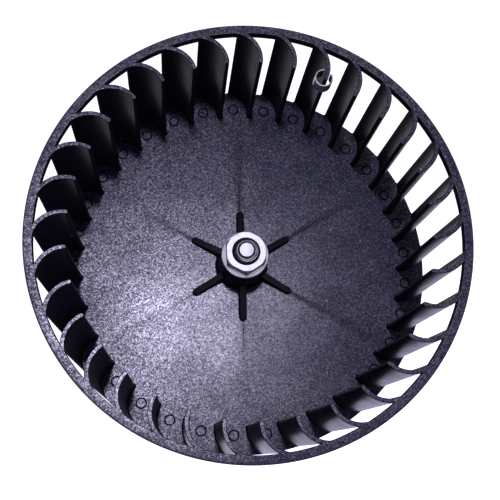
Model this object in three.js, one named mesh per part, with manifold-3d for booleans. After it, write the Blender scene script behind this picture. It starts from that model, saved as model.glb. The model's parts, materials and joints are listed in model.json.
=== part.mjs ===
// Blower wheel on its motor: a forward-curved (squirrel cage) wheel clamped by a flange nut on the
// threaded end of a brushed motor's shaft. Millimetres, +Z up. The origin is the middle of the
// motor's flat rear face, and the wheel's open inlet side faces up.
import * as THREE from 'three';
import { mergeVertices } from 'three/addons/utils/BufferGeometryUtils.js';
import Module from 'manifold-3d';

const wasm = await Module();
wasm.setup();

// ---- Fits ---------------------------------------------------------------------------------
const runFit = 0.3;              // radial gap of round pieces that pass through each other
const seam = 0.05;               // gap where a blade meets the ring's inner wall
const facets = 66;               // sides of the wheel's round faces, two for each blade
const smallFacets = 32;          // sides of the small round pieces
const past = 1;                  // cutters stand this far beyond the faces they cut

// ---- Wheel --------------------------------------------------------------------------------
const ringOuterRadius = 70;
const ringWall = 3;              // ring width seen from the inlet
const ringHeight = 3.1;          // ring depth along the axis
const ringEdge = 0.45;           // bevel of the ring's outer edges
const wheelDepth = 49;           // plate's front face to ring's front face
const plateThickness = 2.2;
const bladeCount = 33;
const bladeThickness = 1.5;
const bladeLength = 10.1;        // radial reach of a blade, ring wall to rounded tip
const bladeBend = 9.7;           // radius of a blade's middle line
const bladeSweep = 89;           // degrees of that arc before the ring's wall cuts it off
const threadRadius = 4;          // thread through the hub and nut
const hubHeight = 17;            // hub's front face above the plate
const hubBaseRadius = threadRadius + 4.8;
const hubTopRadius = threadRadius + 3.9;
const rearBossHeight = 5;
const rearBossRadius = hubBaseRadius;
const ribCount = 6;
const ribWidth = 2.2;
const ribReach = 20;             // rib tip's distance from the axis
const ribHubHeight = 4.8;
const ribTipHeight = 0.9;
const ribTurn = 31.9;            // degrees, first rib

// ---- Balance clip -------------------------------------------------------------------------
const clipBlade = 6;             // blades counted from the first, which points along +X
const clipRadius = 3;
const clipWall = 0.45;
const clipLength = 5;
const clipSink = 0.4;            // clip's front end below the ring's front face
const clipGrip = 0.6;            // clip's axis beyond the blade's tip, towards the ring
const clipShift = 0.6;           // clip's axis beside the blade's tip, on the hollow side

// ---- Shaft and nut ------------------------------------------------------------------------
const shaftShoulder = 1;         // step that the wheel's rear boss rests above
const shaftRadius = threadRadius + shaftShoulder;
const shaftEdge = 0.5;
const flatDepth = 0.8;           // flat that drives the hub
const flatRunOut = 0.5;          // flat beyond the hub's front face
const shaftBeyondHub = 9;
const shaftChamfer = 1.6;
const collarRadius = shaftRadius + 2;
const collarHeight = 2;          // shaft collar under the commutator
const nutWall = 2.5;             // thread to the nut's flats
const nutAcrossFlats = (threadRadius + nutWall) * 2;
const nutHeight = 6.5;
const nutFlangeRadius = nutAcrossFlats / 2 + 1.7;
const nutFlangeHeight = 1.5;
const nutFlangeRise = 0.4;       // flange's slope, from its rim up to the flats
const nutChamfer = 0.9;
const nutFaceInset = 0.2;        // top face inside the flats
const nutLead = 0.6;             // chamfer of the nut's hole
const nutTurn = 33.8;            // degrees, first corner

// ---- Motor --------------------------------------------------------------------------------
const canRadius = 33;
const canWall = 1.8;
const capFloor = 3;
const capHeight = 13;            // end cap's outer wall
const capWall = 4.6;
const spigotHeight = 2;          // end cap's rim inside the can
const canCorner = 1.5;           // bevel round the can's front
const bearingRadius = shaftRadius + 3;
const bearingLength = 8;
const bearingSeatWall = 2.2;
const shaftFoot = 1;             // gap under the shaft
const cardThickness = 2;
const commutatorRadius = shaftRadius + 6;
const commutatorLength = 10;
const cardHoleRadius = commutatorRadius + 3;
const commutatorGap = 2.5;       // commutator to the rear winding
const overhang = 6;              // winding length beyond the core, each end
const windingShoulder = 0.55;    // share of the overhang before it rounds off
const windingOuterRound = 4;
const windingInnerRound = 3;
const coreLength = 24;
const magnetThickness = 7.6;
const magnetOverlap = 3;         // magnet beyond the core, each end
const slotCount = 12;
const slotWidth = 4;
const slotDepth = 9;
const airGap = 0.8;
const frontRoom = 4.5;           // front winding to the can's front wall
const bossWall = 2;              // can's raised bearing cup
const plateGauge = 2;            // mounting plate
const plateBodyRadius = canRadius + 3;
const earPitchRadius = plateBodyRadius + 7;
const earRadius = 8;
const earHoleRadius = 2.75;
const earCount = 3;
const earTurn = 90;
const screwPitchRadius = canRadius - 11;
const screwRadius = 2;
const screwHeadRadius = 3.8;
const screwHeadHeight = 2.4;
const screwHeadSlope = 1.2;
const screwHeadRim = 1.5;        // height of the head's straight side
const screwReach = 6;            // screw length below its head
const screwTurn = 30;
const wheelStandOff = 3;         // bearing cup to the wheel's rear boss
const magnetSpan = 130;          // degrees
const brushWidth = 6;
const brushHeight = 7;
const brushLength = 10;
const brushStart = 2;            // tube's inner end beyond the commutator
const brushRoot = 3;             // depth of the curve cut in a brush
const tubeWall = 1;
const brushTurn = 0;
const socketWidth = 20;
const socketHeight = 11;
const socketDepth = 13;
const socketWall = 1.5;
const socketBack = 2;            // solid wall behind the terminals
const terminalThickness = 0.8;
const terminalHeight = 6.3;
const terminalLength = 9;
const terminalSpacing = 9;

// ---- Heights that follow ------------------------------------------------------------------
const spigotTop = capHeight + spigotHeight;
const cardTop = spigotTop + cardThickness;
const brushBottom = cardTop + tubeWall;
const commutatorBottom = cardTop + 1;
const commutatorTop = commutatorBottom + commutatorLength;
const coreBottom = commutatorTop + commutatorGap + overhang;
const coreTop = coreBottom + coreLength;
const canTop = coreTop + overhang + frontRoom + canWall;
const cupInside = canTop - canWall + bearingLength;
const cupTop = cupInside + bossWall;
const plateTop = canTop + plateGauge;
const rearBossBottom = cupTop + wheelStandOff;
const wheelRear = rearBossBottom + rearBossHeight;
const wheelFloor = wheelRear + plateThickness;
const wheelFront = wheelFloor + wheelDepth;
const hubTop = wheelFloor + hubHeight;
const shaftTop = hubTop + shaftBeyondHub;

// ---- Radii that follow --------------------------------------------------------------------
const wheelInnerWall = ringOuterRadius - ringWall;
const bladeTipRadius = wheelInnerWall - bladeLength;
const pitch = 360 / bladeCount;
const boreRadius = threadRadius + runFit;
const canInside = canRadius - canWall;
const spigotRadius = canInside - runFit;
const magnetOuter = canInside - runFit;
const coreRadius = magnetOuter - magnetThickness - airGap;
const overhangRadius = coreRadius - 3;
const brushInner = commutatorRadius + runFit;
const tubeInner = brushInner + brushStart;
const tubeOuter = tubeInner + brushLength;

const turn = (degrees) => THREE.MathUtils.degToRad(degrees);
const group = new THREE.Group();

// ---- Materials ----------------------------------------------------------------------------
const material = (color, roughness, metalness) => new THREE.MeshStandardMaterial({
  color, roughness, metalness,
});
const wheelPlastic = () => material(0x2b2b36, 0.6, 0);
const zinc = () => material(0xc8cad6, 0.3, 1);
const steel = () => material(0x9a9ca2, 0.35, 1);
const springSteel = () => material(0x8b8d98, 0.4, 1);
const platedCan = () => material(0xa7a9a4, 0.45, 1);
const capPlastic = () => material(0x1d1e20, 0.6, 0);
const copper = () => material(0xa85b2c, 0.4, 1);
const brass = () => material(0xb8964a, 0.4, 1);
const bronze = () => material(0x8a6a3c, 0.6, 1);
const iron = () => material(0x55575c, 0.6, 1);
const ferrite = () => material(0x2a2a2c, 0.7, 0);
const carbon = () => material(0x1a1a1a, 0.8, 0);

// ---- Solids -------------------------------------------------------------------------------
// A closed mesh with shared corners, no slivers of zero area, and its faces pointing outward.
function closed(source) {
  const geometry = source.clone();
  geometry.deleteAttribute('normal');
  geometry.deleteAttribute('uv');
  const merged = mergeVertices(geometry, 1e-4);
  const index = merged.getIndex().array;
  const kept = [];
  for (let i = 0; i < index.length; i += 3) {
    const [a, b, c] = [index[i], index[i + 1], index[i + 2]];
    if (a !== b && b !== c && c !== a) kept.push(a, b, c);
  }
  merged.setIndex(kept);
  if (signedVolume(merged) < 0) {
    for (let i = 0; i < kept.length; i += 3) {
      [kept[i], kept[i + 1]] = [kept[i + 1], kept[i]];
    }
    merged.setIndex(kept);
  }
  return merged;
}

function signedVolume(geometry) {
  const position = geometry.getAttribute('position');
  const index = geometry.getIndex().array;
  const corner = [new THREE.Vector3(), new THREE.Vector3(), new THREE.Vector3()];
  let sum = 0;
  for (let i = 0; i < index.length; i += 3) {
    corner.forEach((point, k) => point.fromBufferAttribute(position, index[i + k]));
    sum += corner[0].dot(corner[1].clone().cross(corner[2]));
  }
  return sum / 6;
}

function toManifold(geometry) {
  const mesh = closed(geometry);
  return new wasm.Manifold(new wasm.Mesh({
    numProp: 3,
    vertProperties: new Float32Array(mesh.getAttribute('position').array),
    triVerts: new Uint32Array(mesh.getIndex().array),
  }));
}

function fromManifold(solid) {
  const mesh = solid.getMesh();
  const geometry = new THREE.BufferGeometry();
  geometry.setAttribute('position', new THREE.BufferAttribute(mesh.vertProperties, 3));
  geometry.setIndex(Array.from(mesh.triVerts));
  return geometry;
}

// A round solid about Z from an outline of [radius, height] points.
function round(outline, sides = smallFacets) {
  const points = outline.map(([radius, height]) => new THREE.Vector2(radius, height));
  return new THREE.LatheGeometry(points, sides).rotateX(Math.PI / 2);
}

// A tube about Z; its outline closes on itself.
function tube(inner, outer, bottom, top, sides = smallFacets) {
  return round([[inner, bottom], [outer, bottom], [outer, top], [inner, top], [inner, bottom]], sides);
}

function rod(radius, bottom, top, sides = smallFacets) {
  return round([[0, bottom], [radius, bottom], [radius, top], [0, top]], sides);
}

// A box from its lowest to its highest corner.
function block(low, high) {
  const size = high.map((value, i) => value - low[i]);
  const middle = high.map((value, i) => (value + low[i]) / 2);
  return new THREE.BoxGeometry(...size).translate(...middle);
}

// A flat outline pushed up from one height to another.
function pushUp(shape, bottom, top, curveSegments = 4) {
  const options = { depth: top - bottom, bevelEnabled: false, curveSegments };
  return new THREE.ExtrudeGeometry(shape, options).translate(0, 0, bottom);
}

function arcPlate(inner, outer, spanDegrees) {
  const half = turn(spanDegrees / 2);
  const shape = new THREE.Shape();
  shape.absarc(0, 0, outer, -half, half, false);
  shape.absarc(0, 0, inner, half, -half, true);
  shape.closePath();
  return shape;
}

function add(name, geometry, paint, degrees = 0) {
  const mesh = new THREE.Mesh(closed(geometry), paint);
  mesh.name = name;
  mesh.rotation.z = turn(degrees);
  group.add(mesh);
  return mesh;
}

const twoDigits = (number) => String(number).padStart(2, '0');

// ---- Wheel moulding -----------------------------------------------------------------------
// The round hole through hub and plate, with the flat that the shaft drives.
function drivenBore(bottom, top) {
  const hole = toManifold(rod(boreRadius, bottom, top));
  const flat = threadRadius - flatDepth + runFit;
  const outside = boreRadius + past;
  const beyond = block([flat, -outside, bottom - past], [outside, outside, top + past]);
  return hole.subtract(toManifold(beyond));
}

function frontRing() {
  const bottom = wheelFront - ringHeight;
  const edge = ringOuterRadius - ringEdge;
  return round([
    [wheelInnerWall, bottom],
    [edge, bottom],
    [ringOuterRadius, bottom + ringEdge],
    [ringOuterRadius, wheelFront - ringEdge],
    [edge, wheelFront],
    [wheelInnerWall, wheelFront],
    [wheelInnerWall, bottom],
  ], facets);
}

function backPlate() {
  const disc = toManifold(rod(wheelInnerWall, wheelRear, wheelFloor, facets));
  return fromManifold(disc.subtract(drivenBore(wheelRear - past, wheelFloor + past)));
}

// One blade, its tip on +X: an arc that leaves the tip along the radius and bends towards the
// ring, cut off by the ring's inner wall.
function blade() {
  const half = bladeThickness / 2;
  const start = bladeTipRadius + half;
  const sweep = turn(bladeSweep);
  const shape = new THREE.Shape();
  shape.absarc(start, bladeBend, bladeBend + half, -Math.PI / 2, sweep - Math.PI / 2, false);
  shape.absarc(start, bladeBend, bladeBend - half, sweep - Math.PI / 2, -Math.PI / 2, true);
  shape.absarc(start, 0, half, Math.PI / 2, Math.PI * 1.5, false);
  const long = toManifold(pushUp(shape, wheelFloor, wheelFront, 3));
  const wall = rod(wheelInnerWall - seam, wheelFloor - past, wheelFront + past, facets);
  return fromManifold(long.intersect(toManifold(wall)));
}

// Hub with its ribs: a slightly tapered boss, and low gussets that fall from it to the plate.
function hub() {
  const boss = round([
    [0, wheelFloor],
    [hubBaseRadius, wheelFloor],
    [hubTopRadius, hubTop],
    [0, hubTop],
  ]);
  let solid = toManifold(boss);
  const side = new THREE.Shape([
    new THREE.Vector2(0, 0),
    new THREE.Vector2(ribReach, 0),
    new THREE.Vector2(ribReach, ribTipHeight),
    new THREE.Vector2(hubBaseRadius, ribHubHeight),
    new THREE.Vector2(0, ribHubHeight),
  ]);
  for (let i = 0; i < ribCount; i += 1) {
    const rib = pushUp(side, -ribWidth / 2, ribWidth / 2)
      .rotateX(Math.PI / 2)
      .rotateZ(turn(ribTurn + i * 360 / ribCount))
      .translate(0, 0, wheelFloor);
    solid = solid.add(toManifold(rib));
  }
  return fromManifold(solid.subtract(drivenBore(wheelFloor - past, hubTop + past)));
}

function rearBoss() {
  const boss = toManifold(rod(rearBossRadius, rearBossBottom, wheelRear));
  return fromManifold(boss.subtract(drivenBore(rearBossBottom - past, wheelRear + past)));
}

// A rolled C of spring steel: its slot lets the blade's tip in.
function balanceClip() {
  const half = bladeThickness / 2;
  const inner = clipRadius - clipWall;
  const low = -clipShift - half - runFit;
  const lean = bladeBend - Math.sqrt(bladeBend ** 2 - (clipGrip + clipRadius) ** 2);
  const high = -clipShift + half + lean + runFit;
  const from = Math.asin(high / clipRadius);
  const to = Math.PI * 2 + Math.asin(low / clipRadius);
  const shape = new THREE.Shape();
  shape.absarc(0, 0, clipRadius, from, to, false);
  shape.absarc(0, 0, inner, to, from, true);
  shape.closePath();
  const top = wheelFront - clipSink;
  return pushUp(shape, top - clipLength, top, 10)
    .translate(bladeTipRadius + clipGrip, clipShift, 0);
}

add('front_ring', frontRing(), wheelPlastic());
add('back_plate', backPlate(), wheelPlastic());
add('hub', hub(), wheelPlastic());
add('rear_boss', rearBoss(), wheelPlastic());
const bladeSolid = blade();
for (let i = 0; i < bladeCount; i += 1) {
  add(`blade_${twoDigits(i + 1)}`, bladeSolid, wheelPlastic(), i * pitch);
}
add('balance_clip', balanceClip(), springSteel(), clipBlade * pitch);

// ---- Shaft, nut and armature --------------------------------------------------------------
function flangeNut() {
  const top = hubTop + nutHeight;
  const corner = nutAcrossFlats / Math.sqrt(3);
  const hexagon = new THREE.CylinderGeometry(corner, corner, nutHeight, 6)
    .rotateX(Math.PI / 2)
    .rotateZ(turn(nutTurn) - Math.PI / 2)
    .translate(0, 0, hubTop + nutHeight / 2);
  const cone = round([
    [0, hubTop],
    [corner + past, hubTop],
    [corner + past, top - nutChamfer],
    [nutAcrossFlats / 2 - nutFaceInset, top],
    [0, top],
  ], 48);
  const flange = round([
    [0, hubTop],
    [nutFlangeRadius, hubTop],
    [nutFlangeRadius, hubTop + nutFlangeHeight / 2],
    [nutAcrossFlats / 2, hubTop + nutFlangeHeight + nutFlangeRise],
    [0, hubTop + nutFlangeHeight + nutFlangeRise],
  ], 48);
  const bore = round([
    [0, hubTop - past],
    [boreRadius, hubTop - past],
    [boreRadius, top - nutLead],
    [boreRadius + nutLead, top],
    [boreRadius + nutLead, top + past],
    [0, top + past],
  ]);
  const body = toManifold(hexagon).intersect(toManifold(cone)).add(toManifold(flange));
  return fromManifold(body.subtract(toManifold(bore)));
}

// A stepped shaft: a collar under the commutator, a shoulder under the wheel, a flat through the
// hub and a round threaded end.
function motorShaft() {
  const foot = capFloor + shaftFoot;
  const outline = [
    [0, foot],
    [shaftRadius - shaftEdge, foot],
    [shaftRadius, foot + shaftEdge],
    [shaftRadius, commutatorBottom - collarHeight],
    [collarRadius, commutatorBottom - collarHeight],
    [collarRadius, commutatorBottom],
    [shaftRadius, commutatorBottom],
    [shaftRadius, rearBossBottom],
    [threadRadius, rearBossBottom],
    [threadRadius, shaftTop - shaftChamfer],
    [threadRadius - shaftChamfer, shaftTop],
    [0, shaftTop],
  ];
  const flat = threadRadius - flatDepth;
  const cut = block([flat, -shaftRadius, rearBossBottom], [shaftRadius, shaftRadius, hubTop + flatRunOut]);
  return fromManifold(toManifold(round(outline)).subtract(toManifold(cut)));
}

function armatureCore() {
  const bore = shaftRadius + runFit;
  let solid = toManifold(tube(bore, coreRadius, coreBottom, coreTop, 36));
  for (let i = 0; i < slotCount; i += 1) {
    const slot = block(
      [coreRadius - slotDepth, -slotWidth / 2, coreBottom - past],
      [coreRadius + past, slotWidth / 2, coreTop + past],
    ).rotateZ(turn(i * 360 / slotCount));
    solid = solid.subtract(toManifold(slot));
  }
  return fromManifold(solid);
}

// A ring of end turns that stands on one face of the core.
function windingEnd(face, direction) {
  const inner = shaftRadius + runFit;
  const far = face + direction * overhang;
  const shoulder = face + direction * overhang * windingShoulder;
  return round([
    [inner, face],
    [overhangRadius, face],
    [overhangRadius, shoulder],
    [overhangRadius - windingOuterRound, far],
    [inner + windingInnerRound, far],
    [inner, shoulder],
    [inner, face],
  ], 48);
}

add('flange_nut', flangeNut(), zinc());
add('motor_shaft', motorShaft(), steel());
add('armature_core', armatureCore(), iron());
add('winding_rear', windingEnd(coreBottom, -1), copper());
add('winding_front', windingEnd(coreTop, 1), copper());
const commutator = tube(shaftRadius + runFit, commutatorRadius, commutatorBottom, commutatorTop);
add('commutator', commutator, copper());

// ---- Motor housing ------------------------------------------------------------------------
// A drawn steel cup, open at the rear, with a raised bearing cup in its front wall.
function motorCan() {
  const inside = canTop - canWall;
  const seat = bearingRadius + runFit;
  const hole = shaftRadius + runFit * 2;
  const outline = [
    [canInside, capHeight],
    [canRadius, capHeight],
    [canRadius, canTop - canCorner],
    [canRadius - canCorner, canTop],
    [seat + bossWall, canTop],
    [seat + bossWall, cupTop],
    [hole, cupTop],
    [hole, cupInside],
    [seat, cupInside],
    [seat, inside],
    [canInside, inside],
    [canInside, capHeight],
  ];
  let solid = toManifold(round(outline, 48));
  for (let i = 0; i < earCount; i += 1) {
    solid = solid.subtract(toManifold(screwHole(i)));
  }
  return fromManifold(solid);
}

function screwHole(i) {
  return rod(screwRadius + runFit, canTop - screwReach - past, plateTop + past, 16)
    .translate(screwPitchRadius, 0, 0)
    .rotateZ(turn(screwTurn + i * 360 / earCount));
}

// Pressed plate with three ears that fasten the motor to a casing.
function mountingPlate() {
  let solid = toManifold(rod(plateBodyRadius, canTop, plateTop, 48));
  for (let i = 0; i < earCount; i += 1) {
    const angle = turn(earTurn + i * 360 / earCount);
    const reach = block([0, -earRadius, canTop], [earPitchRadius, earRadius, plateTop]);
    const end = rod(earRadius, canTop, plateTop).translate(earPitchRadius, 0, 0);
    solid = solid.add(toManifold(reach.rotateZ(angle)));
    solid = solid.add(toManifold(end.rotateZ(angle)));
  }
  for (let i = 0; i < earCount; i += 1) {
    const angle = turn(earTurn + i * 360 / earCount);
    const hole = rod(earHoleRadius, canTop - past, plateTop + past, 24).translate(earPitchRadius, 0, 0);
    solid = solid.subtract(toManifold(hole.rotateZ(angle)));
    solid = solid.subtract(toManifold(screwHole(i)));
  }
  const centre = bearingRadius + runFit + bossWall + runFit;
  return fromManifold(solid.subtract(toManifold(rod(centre, canTop - past, plateTop + past))));
}

function plateScrew() {
  const head = plateTop + screwHeadHeight;
  return round([
    [0, plateTop - screwReach],
    [screwRadius, plateTop - screwReach],
    [screwRadius, plateTop],
    [screwHeadRadius, plateTop],
    [screwHeadRadius, plateTop + screwHeadRim],
    [screwHeadRadius - screwHeadSlope, head],
    [0, head],
  ], 16).translate(screwPitchRadius, 0, 0);
}

// A moulded cap: flat rear face, rim inside the can, rear bearing seat and a terminal socket.
function endCap() {
  const seat = bearingRadius + runFit;
  const outline = [
    [0, 0],
    [canRadius, 0],
    [canRadius, capHeight],
    [spigotRadius, capHeight],
    [spigotRadius, spigotTop],
    [canRadius - capWall, spigotTop],
    [canRadius - capWall, capFloor],
    [seat + bearingSeatWall, capFloor],
    [seat + bearingSeatWall, capFloor + bearingLength],
    [seat, capFloor + bearingLength],
    [seat, capFloor],
    [0, capFloor],
  ];
  const wall = canRadius - capWall;
  const outer = canRadius + socketDepth;
  const halfWidth = socketWidth / 2;
  const bottom = (capHeight - socketHeight) / 2;
  const shell = block([-halfWidth, -outer, bottom], [halfWidth, -wall - past, bottom + socketHeight]);
  const mouth = block(
    [-halfWidth + socketWall, -outer - past, bottom + socketWall],
    [halfWidth - socketWall, -canRadius - socketBack, bottom + socketHeight - socketWall],
  );
  const body = toManifold(round(outline, 48)).add(toManifold(shell));
  return fromManifold(body.subtract(toManifold(mouth)));
}

function terminal(side) {
  const middle = side * terminalSpacing / 2;
  const back = -canRadius - socketBack;
  return block(
    [middle - terminalThickness / 2, back - terminalLength, (capHeight - terminalHeight) / 2],
    [middle + terminalThickness / 2, back, (capHeight + terminalHeight) / 2],
  );
}

// The ring-shaped card that carries the brush tubes.
function brushCard() {
  let solid = toManifold(tube(cardHoleRadius, spigotRadius, spigotTop, cardTop, 48));
  const room = brushWidth / 2 + runFit;
  for (let i = 0; i < 2; i += 1) {
    const angle = turn(brushTurn + i * 180);
    const shell = block(
      [tubeInner + past, -room - tubeWall, spigotTop + cardThickness / 2],
      [tubeOuter, room + tubeWall, brushBottom + brushHeight + runFit + tubeWall],
    );
    const hollow = block(
      [cardHoleRadius - past, -room, brushBottom],
      [tubeOuter + past, room, brushBottom + brushHeight + runFit],
    );
    solid = solid.add(toManifold(shell.rotateZ(angle)));
    solid = solid.subtract(toManifold(hollow.rotateZ(angle)));
  }
  return fromManifold(solid);
}

// A carbon block whose inner end follows the commutator.
function brush() {
  const box = toManifold(block(
    [commutatorRadius - brushRoot, -brushWidth / 2, brushBottom],
    [brushInner + brushLength, brushWidth / 2, brushBottom + brushHeight],
  ));
  const face = toManifold(rod(brushInner, brushBottom - past, brushBottom + brushHeight + past));
  return fromManifold(box.subtract(face));
}

function arcMagnet() {
  const shape = arcPlate(coreRadius + airGap, magnetOuter, magnetSpan);
  return pushUp(shape, coreBottom - magnetOverlap, coreTop + magnetOverlap, 8);
}

add('motor_can', motorCan(), platedCan());
add('mounting_plate', mountingPlate(), zinc());
for (let i = 0; i < earCount; i += 1) {
  add(`plate_screw_${i + 1}`, plateScrew(), zinc(), screwTurn + i * 360 / earCount);
}
add('end_cap', endCap(), capPlastic());
add('terminal_1', terminal(-1), brass());
add('terminal_2', terminal(1), brass());
add('brush_card', brushCard(), capPlastic());
add('brush_1', brush(), carbon(), brushTurn);
add('brush_2', brush(), carbon(), brushTurn + 180);
add('magnet_1', arcMagnet(), ferrite(), 90);
add('magnet_2', arcMagnet(), ferrite(), 270);
const bearing = (bottom) => tube(shaftRadius + runFit, bearingRadius, bottom, bottom + bearingLength);
add('rear_bearing', bearing(capFloor), bronze());
add('front_bearing', bearing(cupInside - bearingLength), bronze());

export default group;
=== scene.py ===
# Looks of the blower wheel on its motor: the wheel is remade as one seamless moulding, and the
# motor, nut, shaft and clip get their fine shapes and worn materials. Metres, in the CAD's frame;
# shapes are built in millimetres and scaled at the end.
import json
import math

import bmesh
import bpy
from mathutils import Matrix, Vector


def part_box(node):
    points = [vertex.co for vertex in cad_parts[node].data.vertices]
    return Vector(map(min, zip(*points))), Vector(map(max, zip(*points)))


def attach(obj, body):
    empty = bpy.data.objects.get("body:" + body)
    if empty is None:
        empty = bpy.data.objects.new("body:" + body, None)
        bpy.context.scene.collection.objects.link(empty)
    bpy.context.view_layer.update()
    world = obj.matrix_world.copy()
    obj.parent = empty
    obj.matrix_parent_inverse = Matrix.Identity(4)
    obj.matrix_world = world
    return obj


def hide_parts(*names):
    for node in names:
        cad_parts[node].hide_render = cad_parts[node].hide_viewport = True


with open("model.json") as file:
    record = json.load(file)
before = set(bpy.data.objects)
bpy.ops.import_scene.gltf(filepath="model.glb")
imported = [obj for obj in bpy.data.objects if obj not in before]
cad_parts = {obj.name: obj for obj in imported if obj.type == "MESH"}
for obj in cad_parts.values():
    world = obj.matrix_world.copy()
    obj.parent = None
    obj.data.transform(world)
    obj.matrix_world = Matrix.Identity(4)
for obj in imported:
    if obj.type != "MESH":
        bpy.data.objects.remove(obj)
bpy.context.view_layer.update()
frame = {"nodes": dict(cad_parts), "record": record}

MM = 0.001
TAU = math.tau


# ---- Sizes read from the frame, in millimetres ---------------------------------------------
def low(node):
    return Vector(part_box(node)[0]) / MM


def high(node):
    return Vector(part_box(node)[1]) / MM


WHEEL_REAR = low("back_plate").z
WHEEL_FLOOR = high("back_plate").z       # front face of the back plate
WHEEL_FRONT = high("front_ring").z
RING_BOTTOM = low("front_ring").z
RING_RADIUS = high("front_ring").y
WALL_RADIUS = high("back_plate").y       # ring's inner wall and the plate's rim
HUB_TOP = high("hub").z
NUT_TOP = high("flange_nut").z
SHAFT_FOOT = low("motor_shaft").z
SHAFT_TOP = high("motor_shaft").z
BOSS_BOTTOM = low("rear_boss").z
CAN_BOTTOM = low("motor_can").z
CAN_RADIUS = high("motor_can").x
CUP_TOP = high("motor_can").z
PLATE_BOTTOM = low("mounting_plate").z
PLATE_TOP = high("mounting_plate").z
CAP_TOP = high("end_cap").z
SOCKET_END = low("end_cap").y
COLLAR_TOP = low("commutator").z
CLIP_BOTTOM = low("balance_clip").z
CLIP_TOP = high("balance_clip").z

# ---- Sizes of the fine shapes, in millimetres ----------------------------------------------
ON_AXIS = 1e-6
CLEAR = 1.0                      # how far a cutting shape passes what it cuts
SINK = 0.5                       # how far a shape reaches into the one it joins
BLADES = 33
PITCH = TAU / BLADES
BLADE_TIP = 56.9                 # tip's distance from the axis
BLADE_BEND = 9.7                 # radius of the blade's arc
BLADE_SWEEP = math.radians(86)
BLADE_FRONT = 1.42               # thickness at the ring
BLADE_ROOT = 1.6                 # thickness at the plate: draft for the mould
ROUND_RING = 0.55                # ring's outer edges
ROUND_FINE = 0.25                # other edges of the moulding
FILLET = 0.45                    # moulding's inner corners
HUB_BASE = 8.8                   # hub's radius at the plate
HUB_END = 7.9                    # hub's radius at its top
HUB_ROUND = 0.4
HUB_FILLET = 0.9
BORE = 4.3
RIBS = 6
RIB_TURN = math.radians(31.9)
RIB_REACH = 20.0                 # rib's end, from the axis
RIB_WIDTH = 2.1
RIB_FLARE = 1.15                 # width at the hub against width at the end
RIB_TALL = 4.8
RIB_LOW = 0.9                    # height at the end
PIN_CIRCLE = 60.3
PIN_RADIUS = 2.0
PIN_GROOVE = 0.55                # width of the groove round the pin's mark
PIN_DEPTH = 0.4                  # and its depth
PIN_LEAD = math.radians(5.85)    # pin's place between two blades, from the blade behind it
SHAFT_RADIUS = 5.0
COLLAR_RADIUS = 7.0              # shaft's collar, just behind the commutator
FLAT_DEPTH = 0.8                 # of the flat that drives the hub
THREAD_RADIUS = 4.0
THREAD_PITCH = 1.25
THREAD_DEPTH = 0.67
THREAD_LEAD = 1.75               # cone at the thread's end
THREAD_CREST_HIGHLIGHTS = [(0.85, 0.2), (1.5, 0.16)]    # depth and half width of the crests' painted highlight rings
NUT_FLATS = 13.0
NUT_FLANGE = 8.2
NUT_TURN = math.radians(33.8)
CLIP_BLADE = 6                   # blades between the first one and the clip's
CLIP_RADIUS = 3.0
CLIP_WALL = 0.45
CLIP_GRIP = 0.6                  # clip's centre, outwards from the blade's tip
CLIP_SHIFT = 0.6                 # and sideways from it
CLIP_PLAY = 0.3
CAN_WALL = 1.8
CUP_RADIUS = 10.3                # can's bearing nose
CUP_WALL = 2.0
SEAT_RADIUS = 8.3                # bearing's seat
EARS = 3                         # mounting plate's ears and screws
EAR_TURN = TAU / 4
EAR_CIRCLE = 43.0
EAR_RADIUS = 8.0
EAR_HOLE = 2.75
PLATE_RADIUS = 36.0
SCREW_CIRCLE = 22.0
SCREW_TURN = TAU / 12
SCREW_HOLE = 2.3
SCREW_HEAD = 3.8
ROUND_SIDES = 120                # sides of the motor's large round bodies

# ---- Floor, lights and camera, in metres ---------------------------------------------------
FLOOR_WIDTH = 6.0
FLOOR_GAP = 0.0001               # keeps the cap's rear face off the floor
GLOW_EDGE = (0.015, 0.08)        # distances towards the bright side over which the glow rises
GLOW = (1.0, 2.3)                # strength on the dim side and on the bright side
GLOW_COLORS = ((0.91, 0.9, 1.0), (0.74, 0.71, 1.0))
GLOW_SIDE = (0.5, -0.87)         # direction of the bright side, in X and Y
KEY_WIDTH = 0.07
KEY_RADIANCE = 350.0
KEY_PLACE = (-0.028, 0.123, 1.09)
KEY_AIM = (-0.02, -0.02, 0.09)
KEY_COLOR = (0.76, 0.72, 1.0)
CAMERA_HEADING = math.radians(71.02)
CAMERA_ELEVATION = math.radians(76.107)
CAMERA_ROLL = math.radians(-19.573)
CAMERA_DISTANCE = 0.2734         # from the point that it aims at
CAMERA_AIM = (-0.0008, -0.0055, WHEEL_FRONT * MM)
CAMERA_LENS = 64.03              # in millimetres, on a sensor 36 mm wide


# ---- Mesh tools ----------------------------------------------------------------------------
def mesh_object(name, bm):
    bmesh.ops.recalc_face_normals(bm, faces=bm.faces)
    mesh = bpy.data.meshes.new(name)
    bm.to_mesh(mesh)
    bm.free()
    obj = bpy.data.objects.new(name, mesh)
    bpy.context.collection.objects.link(obj)
    return obj


def lathe(outline, sides, closed=True):
    """A round body about Z from (radius, height) points; a point on the axis is one vertex."""
    bm = bmesh.new()
    rings = []
    for radius, height in outline:
        if radius < ON_AXIS:
            rings.append([bm.verts.new((0, 0, height))])
            continue
        ring = []
        for i in range(sides):
            a = TAU * i / sides
            ring.append(bm.verts.new((radius * math.cos(a), radius * math.sin(a), height)))
        rings.append(ring)
    pairs = list(zip(rings, rings[1:]))
    if closed:
        pairs.append((rings[-1], rings[0]))
    for lower, upper in pairs:
        for i in range(sides):
            j = (i + 1) % sides
            corners = [lower[i % len(lower)], lower[j % len(lower)],
                       upper[j % len(upper)], upper[i % len(upper)]]
            bm.faces.new(list(dict.fromkeys(corners)))
    return bm


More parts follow.
